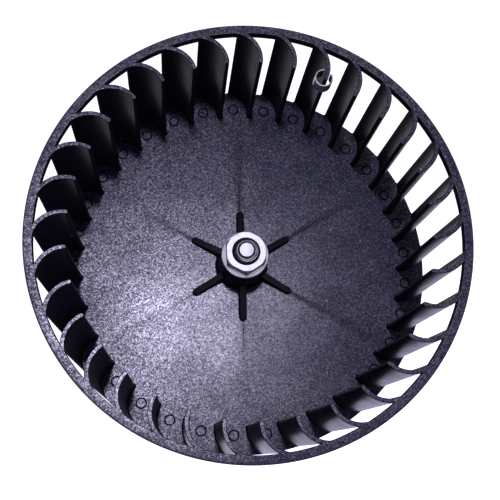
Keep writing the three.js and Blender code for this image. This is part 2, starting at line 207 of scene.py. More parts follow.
def loft(levels):
    """A body skinned over closed outlines of equal length, capped at both ends."""
    bm = bmesh.new()
    rings = [[bm.verts.new(point) for point in level] for level in levels]
    bm.faces.new(rings[0])
    bm.faces.new(rings[-1])
    for lower, upper in zip(rings, rings[1:]):
        for i in range(len(lower)):
            j = (i + 1) % len(lower)
            bm.faces.new([lower[i], lower[j], upper[j], upper[i]])
    return bm


def box(lowest, highest):
    (x0, y0, z0), (x1, y1, z1) = lowest, highest
    plan = [(x0, y0), (x1, y0), (x1, y1), (x0, y1)]
    return loft([[(x, y, z) for x, y in plan] for z in (z0, z1)])


def arc(cx, cy, radius, start, end, steps):
    """Points of an arc from one angle to another, both ends included."""
    points = []
    for i in range(steps + 1):
        a = start + (end - start) * i / steps
        points.append((cx + radius * math.cos(a), cy + radius * math.sin(a)))
    return points


def softened(corners, radii, steps=4):
    """A closed outline whose corners are rounded, with one radius for each corner."""
    points = []
    count = len(corners)
    for i in range(count):
        here = Vector(corners[i])
        if radii[i] == 0:
            points.append(tuple(here))
            continue
        back = (Vector(corners[i - 1]) - here).normalized()
        onward = (Vector(corners[(i + 1) % count]) - here).normalized()
        half = back.angle(onward) / 2
        centre = here + (back + onward).normalized() * radii[i] / math.sin(half)
        first = here + back * radii[i] / math.tan(half) - centre
        last = here + onward * radii[i] / math.tan(half) - centre
        sweep = first.angle_signed(last)
        for k in range(steps + 1):
            points.append(tuple(centre + Matrix.Rotation(-sweep * k / steps, 2) @ first))
    return points


def quarter(steps):
    """Angles of a quarter turn."""
    return [TAU / 4 * i / steps for i in range(steps + 1)]


def fillet_up(bottom, radius, steps=4):
    """(height, outset) steps of an inner corner that rises from bottom."""
    return [(bottom + radius * (1 - math.cos(a)), radius * (1 - math.sin(a))) for a in quarter(steps)]


def round_off(top, radius, steps=4):
    """(height, outset) steps of an outer edge that ends at top."""
    return [(top - radius * (1 - math.sin(a)), -radius * (1 - math.cos(a))) for a in quarter(steps)]


def round_in(bottom, radius, steps=4):
    """(height, outset) steps of an outer edge that starts at bottom."""
    return [(bottom + radius * (1 - math.cos(a)), -radius * (1 - math.sin(a))) for a in quarter(steps)]


def turned(bm, angle):
    bmesh.ops.rotate(bm, verts=bm.verts, cent=(0, 0, 0), matrix=Matrix.Rotation(angle, 3, "Z"))
    return bm


def moved(bm, offset):
    bmesh.ops.translate(bm, verts=bm.verts, vec=offset)
    return bm


def merged(parts):
    """Several bmeshes in one; they stay separate shells."""
    whole = bmesh.new()
    for part in parts:
        mesh = bpy.data.meshes.new("part")
        part.to_mesh(mesh)
        part.free()
        whole.from_mesh(mesh)
        bpy.data.meshes.remove(mesh)
    return whole


def applied(obj):
    """Bakes the object's modifiers into its mesh."""
    deps = bpy.context.evaluated_depsgraph_get()
    mesh = bpy.data.meshes.new_from_object(obj.evaluated_get(deps))
    old = obj.data
    obj.modifiers.clear()
    obj.data = mesh
    bpy.data.meshes.remove(old)


def boolean(obj, bm, operation):
    """Joins a shape to the object, or cuts the object with it."""
    tool = mesh_object("tool", bm)
    modifier = obj.modifiers.new("cut", "BOOLEAN")
    modifier.operation = operation
    modifier.object = tool
    modifier.solver = "MANIFOLD"
    applied(obj)
    old = tool.data
    bpy.data.objects.remove(tool)
    bpy.data.meshes.remove(old)


def finish_piece(obj, body, nodes, slot, smooth):
    """Scales a piece to metres, paints it and hands it to the frame. Edges that turn by less
    than smooth, in degrees, are shaded smooth."""
    obj.data.transform(Matrix.Scale(MM, 4))
    obj.data.polygons.foreach_set("use_smooth", [True] * len(obj.data.polygons))
    obj.data.set_sharp_from_angle(angle=math.radians(smooth))
    weighting = obj.modifiers.new("normals", "WEIGHTED_NORMAL")
    weighting.mode = "FACE_AREA"
    weighting.weight = 100
    weighting.keep_sharp = True
    applied(obj)
    obj.data.materials.clear()
    obj.data.materials.append(PAINTS[slot])
    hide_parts(*nodes)
    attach(obj, body)


# ---- Node material tools -------------------------------------------------------------------
class Paint:
    """A node material with a Principled shader and short calls for the nodes it needs. Its
    textures lie in the object's own space, so a scale is a number of waves or cells to a metre."""

    def __init__(self, name):
        self.material = bpy.data.materials.new(name)
        self.material.use_nodes = True
        self.tree = self.material.node_tree
        self.shader = self.tree.nodes["Principled BSDF"]
        self.where = self.tree.nodes.new("ShaderNodeTexCoord").outputs["Object"]

    def feed(self, socket, value):
        """Links a socket or sets it; a colour is given as three numbers, and None is skipped."""
        if isinstance(value, bpy.types.NodeSocket):
            self.tree.links.new(value, socket)
        elif socket.type == "RGBA":
            socket.default_value = (*value, 1.0)
        elif value is not None:
            socket.default_value = value

    def node(self, kind, **inputs):
        node = self.tree.nodes.new(kind)
        for name, value in inputs.items():
            self.feed(node.inputs[name], value)
        return node

    def along(self, axis):
        """How far a point lies along one axis, in metres."""
        return self.node("ShaderNodeSeparateXYZ", Vector=self.where).outputs[axis]

    def facing_up(self):
        """How far the surface faces along +Z, from the object's own normals."""
        normal = self.tree.nodes.new("ShaderNodeTexCoord").outputs["Normal"]
        return self.node("ShaderNodeSeparateXYZ", Vector=normal).outputs["Z"]

    def noise(self, scale, detail=2.0, rough=0.5, stretch=None):
        where = self.where
        if stretch:
            where = self.node("ShaderNodeMapping", Vector=where, Scale=stretch).outputs["Vector"]
        node = self.node("ShaderNodeTexNoise", Vector=where, Scale=scale, Detail=detail, Roughness=rough)
        return node.outputs["Fac"]

    def dots(self, scale):
        """Each point's distance from the nearest of many scattered points."""
        return self.node("ShaderNodeTexVoronoi", Vector=self.where, Scale=scale).outputs["Distance"]

    def chips(self, scale):
        """Three random numbers for each of many small cells."""
        return self.node("ShaderNodeTexVoronoi", Vector=self.where, Scale=scale).outputs["Color"]

    def channel(self, color, name):
        return self.node("ShaderNodeSeparateColor", Color=color).outputs[name]

    def vector(self, operation, a, b=None, scale=None):
        node = self.tree.nodes.new("ShaderNodeVectorMath")
        node.operation = operation
        for place, value in ((0, a), (1, b), (3, scale)):
            self.feed(node.inputs[place], value)
        return node.outputs["Vector"]

    def tilted(self, chips, amount):
        """The surface's normal, tipped at random in each cell."""
        normal = self.tree.nodes.new("ShaderNodeNewGeometry").outputs["Normal"]
        tip = self.vector("SCALE", self.vector("SUBTRACT", chips, (0.5, 0.5, 0.5)), scale=amount)
        return self.vector("NORMALIZE", self.vector("ADD", normal, tip))

    def ramp(self, value, low, high, start=0.0, end=1.0):
        """value, mapped so that low gives start and high gives end, held between the two."""
        node = self.node("ShaderNodeMapRange", Value=value)
        for name, number in (("From Min", low), ("From Max", high), ("To Min", start), ("To Max", end)):
            node.inputs[name].default_value = number
        return node.outputs["Result"]

    def math(self, operation, *values):
        node = self.tree.nodes.new("ShaderNodeMath")
        node.operation = operation
        for socket, value in zip(node.inputs, values):
            self.feed(socket, value)
        return node.outputs["Value"]

    def plus(self, first, second):
        return self.math("ADD", first, second)

    def times(self, first, *others):
        """The product of two or more numbers."""
        for other in others:
            first = self.math("MULTIPLY", first, other)
        return first

    def less(self, value, share):
        """One, less a share of value: what is left where value dims something."""
        return self.math("SUBTRACT", 1.0, self.times(value, share))

    def mix(self, factor, first, second):
        node = self.tree.nodes.new("ShaderNodeMix")
        node.data_type = "RGBA"
        for place, value in ((0, factor), (6, first), (7, second)):
            self.feed(node.inputs[place], value)
        return node.outputs[2]

    def bump(self, height, distance, strength=1.0, after=None):
        node = self.node("ShaderNodeBump", Strength=strength, Distance=distance, Height=height)
        self.feed(node.inputs["Normal"], after)
        return node.outputs["Normal"]

    def set(self, **inputs):
        names = {"color": "Base Color", "rough": "Roughness", "metal": "Metallic", "normal": "Normal",
                 "specular": "Specular IOR Level", "glow": "Emission Strength",
                 "glow_color": "Emission Color"}
        for name, value in inputs.items():
            self.feed(self.shader.inputs[names[name]], value)
        return self.material


# ---- Materials -----------------------------------------------------------------------------
COARSE_GRAIN = 2600              # cells to a metre
FINE_GRAIN = 3900
FLOW_IN = (0.012, 0.022)         # distances from the axis, in metres, over which each mark fades
FLOW_OUT = (0.024, 0.055)
WELD_OUT = (0.02, 0.055)
HAIRLINE_OUT = (0.024, 0.034)
FRONT_FACES = (0.131, 0.139)     # heights over which the ring's and the blades' front faces begin
RIM = (0.0665, 0.068)            # distances from the axis over which the ring's outer side begins


def moulding_marks(p):
    """Marks left by the flow round the hub: shallow waves that fan out between the ribs and,
    beyond each rib, a dull weld streak, fainter towards -X and -Y, with a hairline in it.
    Gives the distance from the axis and then the waves, the streaks and the hairlines."""
    x = p.along("X")
    y = p.along("Y")
    reach = p.math("SQRT", p.plus(p.times(x, x), p.times(y, y)))
    sixfold = p.math("COSINE", p.times(p.math("SUBTRACT", p.math("ARCTAN2", y, x), RIB_TURN), RIBS))
    flow = p.times(sixfold, p.ramp(reach, *FLOW_IN), p.ramp(reach, *FLOW_OUT, 1.0, 0.0))
    faint = p.ramp(p.plus(x, y), -0.03, 0.0, 0.3, 1.0)
    weld = p.times(p.ramp(sixfold, 0.94, 1.0), p.ramp(reach, *WELD_OUT, 1.0, 0.3), faint)
    hairline = p.times(p.ramp(sixfold, 0.9990, 0.9997), p.ramp(reach, *HAIRLINE_OUT, 1.0, 0.0))
    return reach, flow, weld, hairline


def wheel_plastic():
    """Black moulding: spark-grained where it faces the inlet or the rear, smooth on its sides.
    The grain is many small cells that each shine and tip in their own way."""
    p = Paint("wheel_plastic")
    up = p.math("ABSOLUTE", p.facing_up())
    grained = p.ramp(up, 0.965, 0.995)
    smooth = p.less(grained, 1.0)
    chips = p.chips(COARSE_GRAIN)
    glint = p.math("POWER", p.channel(chips, "Red"), 2.0)
    spark = p.math("POWER", p.channel(p.chips(FINE_GRAIN), "Green"), 2.0)
    clouds = p.noise(38, 4.0, 0.55)
    reach, flow, weld, hairline = moulding_marks(p)
    weld = p.times(weld, grained)
    hairline = p.times(hairline, grained)

    base = p.mix(p.ramp(clouds, 0.35, 0.65), (0.0045, 0.0049, 0.021), (0.0078, 0.0084, 0.031))
    # Painted glints on the grain: cells whose glint is strong get lighter blue specks in the base colour.
    color = p.mix(p.times(p.ramp(glint, 0.55, 1.0), grained), base, (0.042, 0.042, 0.098))
    side = p.mix(p.ramp(p.noise(120, 3.0), 0.4, 0.7), (0.003, 0.003, 0.006), (0.005, 0.005, 0.011))
    color = p.mix(grained, side, color)
    dust = p.ramp(p.dots(115), 0.03, 0.045, 0.8, 0.0)
    color = p.mix(dust, color, (0.35, 0.35, 0.38))
    color = p.mix(p.times(weld, 0.75), color, (0.0025, 0.0025, 0.008))
    color = p.mix(hairline, color, (0.003, 0.003, 0.005))

    rough_top = p.plus(p.ramp(clouds, 0.3, 0.7, 0.31, 0.28), p.times(weld, 0.03))
    rough_side = p.ramp(p.noise(90, 3.0), 0.3, 0.7, 0.34, 0.42)
    rough = p.plus(p.times(rough_top, grained), p.times(rough_side, smooth))

    patches = p.ramp(p.noise(62, 3.0), 0.32, 0.68, 0.72, 1.22)
    # Painted sheen: the front faces of the ring and the blades reflect nearly twice as strongly, except
    # towards -Y, where they reflect a little less.
    painted_sheen_by_y = p.ramp(p.along("Y"), -0.07, -0.045, -0.15, 0.85)
    front = p.math("MULTIPLY_ADD", p.ramp(p.along("Z"), *FRONT_FACES), painted_sheen_by_y, 1.0)
    shine = p.plus(p.ramp(glint, 0.0, 1.0, 0.08, 0.98), p.ramp(spark, 0.0, 1.0, 0.0, 0.45))
    shine = p.times(shine, patches, p.less(weld, 0.6), p.less(hairline, 0.8), front)
    dull = p.math("MAXIMUM", p.ramp(up, 0.15, 0.55, 0.03, 0.2), p.ramp(reach, *RIM, 0.0, 0.45))
    shine = p.plus(p.times(shine, grained), p.times(dull, smooth))

    facets = p.tilted(chips, p.times(grained, 0.035))
    waves = p.bump(p.noise(60), 0.00003, 0.25, after=facets)
    normal = p.bump(flow, 0.00002, after=waves)
    return p.set(color=color, rough=rough, normal=normal, specular=shine)


def zinc():
    """Bright zinc with a cool cast, clouded and lightly scratched, with painted shade on its steep faces.
    """
    p = Paint("zinc_plate")
    clouds = p.noise(260, 4.0, 0.6)
    bright = p.mix(p.ramp(clouds, 0.35, 0.7), (0.62, 0.63, 0.71), (0.80, 0.81, 0.88))
    # Painted shade: faces that don't face along the axis turn near black.
    steep_shade = p.ramp(p.math("ABSOLUTE", p.facing_up()), 0.875, 0.915, 0.86, 0.0)
    color = p.mix(steep_shade, bright, (0.07, 0.07, 0.11))
    scratch = p.noise(900, 2.0, 0.6, stretch=(1.0, 1.0, 0.12))
    rough = p.plus(p.ramp(clouds, 0.3, 0.7, 0.48, 0.58), p.ramp(scratch, 0.5, 0.8, 0.0, 0.08))
    normal = p.bump(p.noise(1800, 3.0), 0.00004, 0.6)
    return p.set(color=color, rough=rough, metal=1.0, normal=normal)


def shaft_steel():
    """Turned steel with fine rings from the tool; the threaded end has painted shade between its crests
    and a painted highlight on each crest.
    """
    p = Paint("shaft_steel")
    depth = p.math("SUBTRACT", SHAFT_TOP * MM, p.along("Z"))
    # Painted highlights: rings at the crests' depths are made near white.
    crests = 0.0
    for place, half in THREAD_CREST_HIGHLIGHTS:
        away = p.math("ABSOLUTE", p.math("SUBTRACT", depth, place * MM))
        crests = p.math("MAXIMUM", p.ramp(away, half * MM * 0.4, half * MM, 1.0, 0.0), crests)
    end = p.ramp(p.facing_up(), 0.9, 0.98)
    below_nut = p.ramp(depth, (SHAFT_TOP - HUB_TOP) * MM, (SHAFT_TOP - HUB_TOP + 1) * MM)
    bright = p.math("MAXIMUM", p.math("MAXIMUM", end, crests), below_nut)
    color = p.mix(p.ramp(p.noise(300, 3.0), 0.35, 0.7), (0.44, 0.44, 0.48), (0.66, 0.66, 0.69))
    color = p.mix(crests, color, (0.98, 0.97, 1.0))
    # Painted shade: the threaded end above the hub turns near black, except for its end face and the
    # painted crest highlights.
    color = p.mix(bright, (0.07, 0.06, 0.09), color)
    rings = p.noise(40, stretch=(1.0, 1.0, 90.0))
    rough = p.ramp(rings, 0.3, 0.7, 0.44, 0.56)
    marks = p.bump(p.noise(1100, 3.0, 0.6), 0.00006, 0.6)
    normal = p.bump(rings, 0.00002, 0.6, after=marks)
    return p.set(color=color, rough=rough, metal=1.0, normal=normal)


def spring_steel():
    p = Paint("spring_steel")
    clouds = p.noise(500, 4.0, 0.6)
    color = p.mix(p.ramp(clouds, 0.4, 0.7), (0.50, 0.50, 0.56), (0.74, 0.74, 0.80))
    rough = p.ramp(clouds, 0.3, 0.7, 0.24, 0.4)
    return p.set(color=color, rough=rough, metal=1.0, normal=p.bump(clouds, 0.00003, 0.4))


def can_steel():
    """Drawn steel with dull zinc: draw lines along the axis, faint spangle and handling marks."""
    p = Paint("can_steel")
    draw = p.noise(700, 3.0, 0.55, stretch=(1.0, 1.0, 0.02))
    spangle = p.channel(p.chips(330), "Red")
    color = p.mix(spangle, (0.33, 0.335, 0.34), (0.40, 0.405, 0.40))
    smudge = p.ramp(p.noise(45, 5.0, 0.6), 0.5, 0.72)
    color = p.mix(p.times(smudge, 0.5), color, (0.2, 0.2, 0.195))
    rough = p.plus(p.ramp(draw, 0.3, 0.7, 0.26, 0.42), p.times(smudge, 0.14))
    return p.set(color=color, rough=rough, metal=1.0, normal=p.bump(draw, 0.00003, 0.6))


def cap_plastic():
    p = Paint("cap_plastic")
    clouds = p.noise(50, 4.0)
    color = p.mix(p.ramp(clouds, 0.35, 0.7), (0.012, 0.012, 0.013), (0.022, 0.022, 0.024))
    rough = p.ramp(clouds, 0.3, 0.7, 0.5, 0.62)
    return p.set(color=color, rough=rough, normal=p.bump(p.noise(1700, 3.0, 0.6), 0.00009, 0.8))


def metal_paint(name, first, second, rough_low, rough_high, scale=300.0):
    """A clouded metal between two colours and two roughnesses."""
    p = Paint(name)
    clouds = p.noise(scale, 4.0, 0.6)
    color = p.mix(p.ramp(clouds, 0.35, 0.7), first, second)
    rough = p.ramp(p.noise(scale * 2.5, 3.0), 0.3, 0.7, rough_low, rough_high)
    return p.set(color=color, rough=rough, metal=1.0, normal=p.bump(clouds, 0.00004, 0.5))


def dull_paint(name, first, second, rough_low, rough_high):
    """A grained material that isn't metal, between two colours and two roughnesses."""
    p = Paint(name)
    grain = p.noise(900, 4.0, 0.65)
    color = p.mix(p.ramp(grain, 0.35, 0.7), first, second)
    rough = p.ramp(grain, 0.3, 0.7, rough_low, rough_high)
    return p.set(color=color, rough=rough, normal=p.bump(grain, 0.0001, 0.6))


METALS = {
    "copper_wire": ((0.45, 0.14, 0.05), (0.62, 0.24, 0.1), 0.25, 0.4),
    "commutator_copper": ((0.6, 0.27, 0.14), (0.75, 0.38, 0.2), 0.2, 0.36),
    "terminal_brass": ((0.62, 0.5, 0.28), (0.76, 0.63, 0.38), 0.22, 0.36),
    "bearing_bronze": ((0.34, 0.21, 0.1), (0.5, 0.34, 0.18), 0.4, 0.6, 900.0),
    "core_steel": ((0.16, 0.16, 0.17), (0.26, 0.26, 0.27), 0.4, 0.6),
}
DULLS = {
    "carbon": ((0.012, 0.012, 0.012), (0.03, 0.03, 0.03), 0.5, 0.75),
    "ferrite": ((0.02, 0.02, 0.022), (0.045, 0.045, 0.048), 0.55, 0.8),
}
PAINTS = {
    "wheel_plastic": wheel_plastic(),
    "zinc_plate": zinc(),
    "shaft_steel": shaft_steel(),
    "spring_steel": spring_steel(),
    "can_steel": can_steel(),
    "cap_plastic": cap_plastic(),
}
PAINTS.update({name: metal_paint(name, *look) for name, look in METALS.items()})
PAINTS.update({name: dull_paint(name, *look) for name, look in DULLS.items()})


# ---- Wheel ---------------------------------------------------------------------------------
def blade_outline(thickness):
    """A blade seen along the axis, its rounded tip on +X: an arc of even thickness."""
    half = thickness / 2
    start = BLADE_TIP + BLADE_FRONT / 2
    outer = arc(start, BLADE_BEND, BLADE_BEND + half, -TAU / 4, BLADE_SWEEP - TAU / 4, 22)
    inner = arc(start, BLADE_BEND, BLADE_BEND - half, BLADE_SWEEP - TAU / 4, -TAU / 4, 22)
    tip = arc(start, 0, half, TAU / 4, TAU * 3 / 4, 8)
    return outer + inner + tip[1:-1]


def blade():
    steps = [(WHEEL_FLOOR - SINK, FILLET)] + fillet_up(WHEEL_FLOOR, FILLET)
    steps += round_off(WHEEL_FRONT, ROUND_FINE)
    levels = []
    for height, outset in steps:
        share = (height - WHEEL_FLOOR) / (WHEEL_FRONT - WHEEL_FLOOR)
        thickness = BLADE_ROOT + (BLADE_FRONT - BLADE_ROOT) * share
        levels.append([(x, y, height) for x, y in blade_outline(thickness + 2 * outset)])
    return loft(levels)


def rib_outline(outset):
    half = RIB_WIDTH / 2 + outset
    foot = BORE + 0.7
    tip = arc(RIB_REACH - RIB_WIDTH / 2, 0, half, -TAU / 4, TAU / 4, 10)
    return tip + [(foot, half * RIB_FLARE), (foot, -half * RIB_FLARE)]


def rib():
    """A low gusset: round-ended in plan, falling from the hub to the plate."""
    fall = (RIB_TALL - RIB_LOW) / (RIB_REACH - HUB_BASE)
    levels = [[(x, y, WHEEL_FLOOR - SINK) for x, y in rib_outline(FILLET)]]
    for height, outset in fillet_up(WHEEL_FLOOR, FILLET):
        levels.append([(x, y, height) for x, y in rib_outline(outset)])
    for height, outset in round_off(WHEEL_FLOOR + RIB_LOW, ROUND_FINE):
        levels.append([(x, y, height + (RIB_REACH - x) * fall) for x, y in rib_outline(outset)])
    return loft(levels)


def pin_mark():
    """The groove that an ejector pin's rim leaves round a disc of the plate."""
    middle = PIN_RADIUS - PIN_GROOVE / 2
    mouth = PIN_GROOVE * 0.6
    above = WHEEL_FLOOR + 0.1
    outline = [(middle - mouth, above), (middle, WHEEL_FLOOR - PIN_DEPTH), (middle + mouth, above)]
    return moved(lathe(outline, 32), (PIN_CIRCLE, 0, 0))


def make_wheel():
    sides = BLADES * 8
    step = RING_BOTTOM + SINK
    within = [(0, WHEEL_FLOOR - 2 * SINK), (WALL_RADIUS, WHEEL_FLOOR - 2 * SINK), (WALL_RADIUS, step),
              (WALL_RADIUS + CLEAR, step), (WALL_RADIUS + CLEAR, WHEEL_FRONT + CLEAR),
              (0, WHEEL_FRONT + CLEAR)]
    ring = softened([(WALL_RADIUS, RING_BOTTOM), (RING_RADIUS, RING_BOTTOM),
                     (RING_RADIUS, WHEEL_FRONT), (WALL_RADIUS, WHEEL_FRONT)],
                    [ROUND_FINE, ROUND_RING, ROUND_RING, ROUND_FINE])
    disc = softened([(BORE, BOSS_BOTTOM), (HUB_BASE, BOSS_BOTTOM), (HUB_BASE, WHEEL_REAR),
                     (WALL_RADIUS, WHEEL_REAR), (WALL_RADIUS, WHEEL_FLOOR), (HUB_BASE, WHEEL_FLOOR),
                     (HUB_END, HUB_TOP), (BORE, HUB_TOP)],
                    [0, HUB_ROUND, FILLET, ROUND_FINE, ROUND_FINE, HUB_FILLET, HUB_ROUND, 0])
    wheel = mesh_object("wheel", merged([turned(blade(), i * PITCH) for i in range(BLADES)]))
    boolean(wheel, lathe(within, sides, closed=False), "INTERSECT")
    boolean(wheel, lathe(ring, sides), "UNION")
    boolean(wheel, lathe(disc, sides), "UNION")
    for i in range(RIBS):
        boolean(wheel, turned(rib(), RIB_TURN + i * TAU / RIBS), "UNION")
    marks = [turned(pin_mark(), i * PITCH + PIN_LEAD) for i in range(BLADES)]
    boolean(wheel, merged(marks), "DIFFERENCE")
    blade_nodes = [f"blade_{i + 1:02d}" for i in range(BLADES)]
    nodes = ["front_ring", "back_plate", "hub", "rear_boss"] + blade_nodes
    finish_piece(wheel, "rotor", nodes, "wheel_plastic", 35)


# ---- Clip, nut and shaft -------------------------------------------------------------------
def make_clip():
    """A rolled C of spring steel on the end of one blade."""
    half = BLADE_FRONT / 2
    lean = BLADE_BEND - math.sqrt(BLADE_BEND ** 2 - (CLIP_GRIP + CLIP_RADIUS) ** 2)
    first = math.asin((half + lean + CLIP_PLAY - CLIP_SHIFT) / CLIP_RADIUS)
    last = TAU + math.asin((-CLIP_SHIFT - half - CLIP_PLAY) / CLIP_RADIUS)
    edge = 0.12
    levels = []
    for height, outset in round_in(CLIP_BOTTOM, edge, 2) + round_off(CLIP_TOP, edge, 2):
        ends = -outset / CLIP_RADIUS
        outer = arc(0, 0, CLIP_RADIUS + outset, first + ends, last - ends, 48)
        inner = arc(0, 0, CLIP_RADIUS - CLIP_WALL - outset, last - ends, first + ends, 48)
        levels.append([(x + BLADE_TIP + CLIP_GRIP, y + CLIP_SHIFT, height) for x, y in outer + inner])
    clip = mesh_object("clip", turned(loft(levels), CLIP_BLADE * PITCH))
    finish_piece(clip, "rotor", ["balance_clip"], "spring_steel", 50)


def make_nut():
    """A hexagon with its corners turned down, on a round flange."""
    corner = NUT_FLATS / math.sqrt(3)
    half = NUT_FLATS / 2
    sides = 96
    foot = HUB_TOP - CLEAR
    flange_edge = HUB_TOP + 1.1
    flange_top = HUB_TOP + 1.85
    corners = [(corner * math.cos(NUT_TURN + i * TAU / 6), corner * math.sin(NUT_TURN + i * TAU / 6))
               for i in range(6)]
    outline = softened(corners, [0.5] * 6, 3)
    nut = mesh_object("nut", loft([[(x, y, z) for x, y in outline] for z in (HUB_TOP, NUT_TOP)]))
    crown = [(0, foot), (corner + CLEAR, foot), (corner + CLEAR, NUT_TOP - 1.2),
             (half + 0.3, NUT_TOP - 0.1), (half + 0.1, NUT_TOP), (0, NUT_TOP)]
    boolean(nut, lathe(crown, sides, closed=False), "INTERSECT")
    flange = softened([(BORE, HUB_TOP), (NUT_FLANGE, HUB_TOP), (NUT_FLANGE, flange_edge),
                       (half - 0.3, flange_top), (BORE, flange_top)], [0, 0.25, 0.4, 0, 0])
    boolean(nut, lathe(flange, sides), "UNION")
    hole = [(0, foot), (BORE, foot), (BORE, NUT_TOP - 0.55), (BORE + 0.45, NUT_TOP - 0.1),
            (BORE + 0.6, NUT_TOP + 0.1), (0, NUT_TOP + 0.1)]
    boolean(nut, lathe(hole, 64, closed=False), "DIFFERENCE")
    finish_piece(nut, "rotor", ["flange_nut"], "zinc_plate", 28)


def shaft_ring(height, radius, flat=False, thread=False):
    """One ring of the shaft, with its drive flat or its thread. The thread is a helix with
    short crests and roots, held within the cone at its end."""
    sides = 72
    points = []
    for i in range(sides):
        angle = TAU * i / sides
        reach = radius
        if flat and math.cos(angle) > 0:
            reach = min(reach, (THREAD_RADIUS - FLAT_DEPTH) / math.cos(angle))
        if thread:
            turn = (height / THREAD_PITCH - i / sides) % 1
            valley = min(max(abs(2 * turn - 1) * 1.25 - 0.125, 0), 1)
            cone = THREAD_RADIUS - THREAD_LEAD + 0.1 + (SHAFT_TOP - height)
            reach = min(THREAD_RADIUS - THREAD_DEPTH * valley, cone)
        points.append((reach * math.cos(angle), reach * math.sin(angle), height))
    return points


def make_shaft():
    """The shaft from its foot: bevel, collar, shoulder at the hub, drive flat and thread."""
    bevel = 0.5
    collar_foot = COLLAR_TOP - 2
    thread_start = HUB_TOP + 0.5
    thread_end = SHAFT_TOP - 0.12
    rows = 84
    rings = [shaft_ring(SHAFT_FOOT, SHAFT_RADIUS - bevel), shaft_ring(SHAFT_FOOT + bevel, SHAFT_RADIUS),
             shaft_ring(collar_foot, SHAFT_RADIUS), shaft_ring(collar_foot, COLLAR_RADIUS),
             shaft_ring(COLLAR_TOP, COLLAR_RADIUS), shaft_ring(COLLAR_TOP, SHAFT_RADIUS),
             shaft_ring(BOSS_BOTTOM, SHAFT_RADIUS), shaft_ring(BOSS_BOTTOM, THREAD_RADIUS, flat=True),
             shaft_ring(thread_start, THREAD_RADIUS, flat=True)]
    for i in range(rows + 1):
        height = thread_start + (thread_end - thread_start) * i / rows
        rings.append(shaft_ring(height, THREAD_RADIUS, thread=True))
    rings.append(shaft_ring(SHAFT_TOP, THREAD_RADIUS - THREAD_LEAD - 0.02))
    finish_piece(mesh_object("shaft", loft(rings)), "rotor", ["motor_shaft"], "shaft_steel", 32)


# ---- Motor ---------------------------------------------------------------------------------
def screw_hole(i):
    """A cutter for one plate screw's hole, through the plate and the can."""
    bottom = PLATE_BOTTOM - 7
    top = PLATE_TOP + CLEAR
    cutter = lathe([(0, bottom), (SCREW_HOLE, bottom), (SCREW_HOLE, top), (0, top)], 24, closed=False)
    return turned(moved(cutter, (SCREW_CIRCLE, 0, 0)), SCREW_TURN + i * TAU / EARS)


def can_groove(height):
    """A cutter for a shallow groove rolled round the can."""
    depth, floor, mouth, outside = 0.35, 0.5, 1.1, 0.5
    return lathe([(CAN_RADIUS - depth, height - floor), (CAN_RADIUS + outside, height - mouth),
                  (CAN_RADIUS + outside, height + mouth), (CAN_RADIUS - depth, height + floor)],
                 ROUND_SIDES)


def make_can():
    """A drawn cup with its bearing nose, two rolled grooves and a seam, staked to the end cap at
    four places round its rim."""
    inner = CAN_RADIUS - CAN_WALL
    inside = PLATE_BOTTOM - CAN_WALL
    seat_top = CUP_TOP - CUP_WALL
    mouth = SHAFT_RADIUS + 0.6
    outline = softened(
        [(inner, CAN_BOTTOM), (CAN_RADIUS, CAN_BOTTOM), (CAN_RADIUS, PLATE_BOTTOM),
         (CUP_RADIUS, PLATE_BOTTOM), (CUP_RADIUS, CUP_TOP), (mouth, CUP_TOP),
         (mouth, seat_top), (SEAT_RADIUS, seat_top), (SEAT_RADIUS, inside), (inner, inside)],
        [0, 0.25, 1.8, 0.2, 1.2, 0.3, 0, 0, 0, 0], 5)
    can = mesh_object("can", lathe(outline, ROUND_SIDES))
    boolean(can, merged([can_groove(CAN_BOTTOM + 6.5), can_groove(PLATE_BOTTOM - 7)]), "DIFFERENCE")
    stake_deep, stake_half, seam_deep, seam_half = 0.7, 2.2, 0.2, 0.14
    outside = CAN_RADIUS + CLEAR
    cuts = []
    for i in range(4):
        stake = box((CAN_RADIUS - stake_deep, -stake_half, CAN_BOTTOM + 1.5),
                    (outside, stake_half, CAN_BOTTOM + 3.7))
        cuts.append(turned(stake, TAU * (i + 0.5) / 4))
    seam = box((CAN_RADIUS - seam_deep, -seam_half, CAN_BOTTOM - CLEAR),
               (outside, seam_half, PLATE_BOTTOM - 2))
    cuts.append(turned(seam, TAU * 0.66))
    boolean(can, merged(cuts), "DIFFERENCE")
    boolean(can, merged([screw_hole(i) for i in range(EARS)]), "DIFFERENCE")
    finish_piece(can, "motor", ["motor_can"], "can_steel", 30)


def ear(edge):
    """A round-ended ear on +X, that starts well inside the plate's disc."""
    start = CUP_RADIUS + 5
    levels = []
    for height, outset in round_in(PLATE_BOTTOM, edge) + round_off(PLATE_TOP, edge):
        half = EAR_RADIUS + outset
        plan = arc(EAR_CIRCLE, 0, half, -TAU / 4, TAU / 4, 24) + [(start, half), (start, -half)]
        levels.append([(x, y, height) for x, y in plan])
    return loft(levels)


def ear_hole():
    """A cutter for an ear's hole, with a countersink at both ends."""
    wide = EAR_HOLE + 0.8
    hole = lathe([(0, PLATE_BOTTOM - CLEAR), (wide, PLATE_BOTTOM - CLEAR), (EAR_HOLE, PLATE_BOTTOM + 0.3),
                  (EAR_HOLE, PLATE_TOP - 0.3), (wide, PLATE_TOP + CLEAR), (0, PLATE_TOP + CLEAR)],
                 32, closed=False)
    return moved(hole, (EAR_CIRCLE, 0, 0))


def plate_bead():
    """A flat-topped bead pressed up round the plate, near its edge."""
    middle = PLATE_RADIUS - 6
    foot = PLATE_TOP - 0.3
    crest = PLATE_TOP + 0.7
    crown = [(r, min(z, crest)) for r, z in arc(middle, foot, 1.3, 0.25, TAU / 2 - 0.25, 10)]
    return lathe([(middle + 1.6, foot)] + crown + [(middle - 1.6, foot)], ROUND_SIDES)


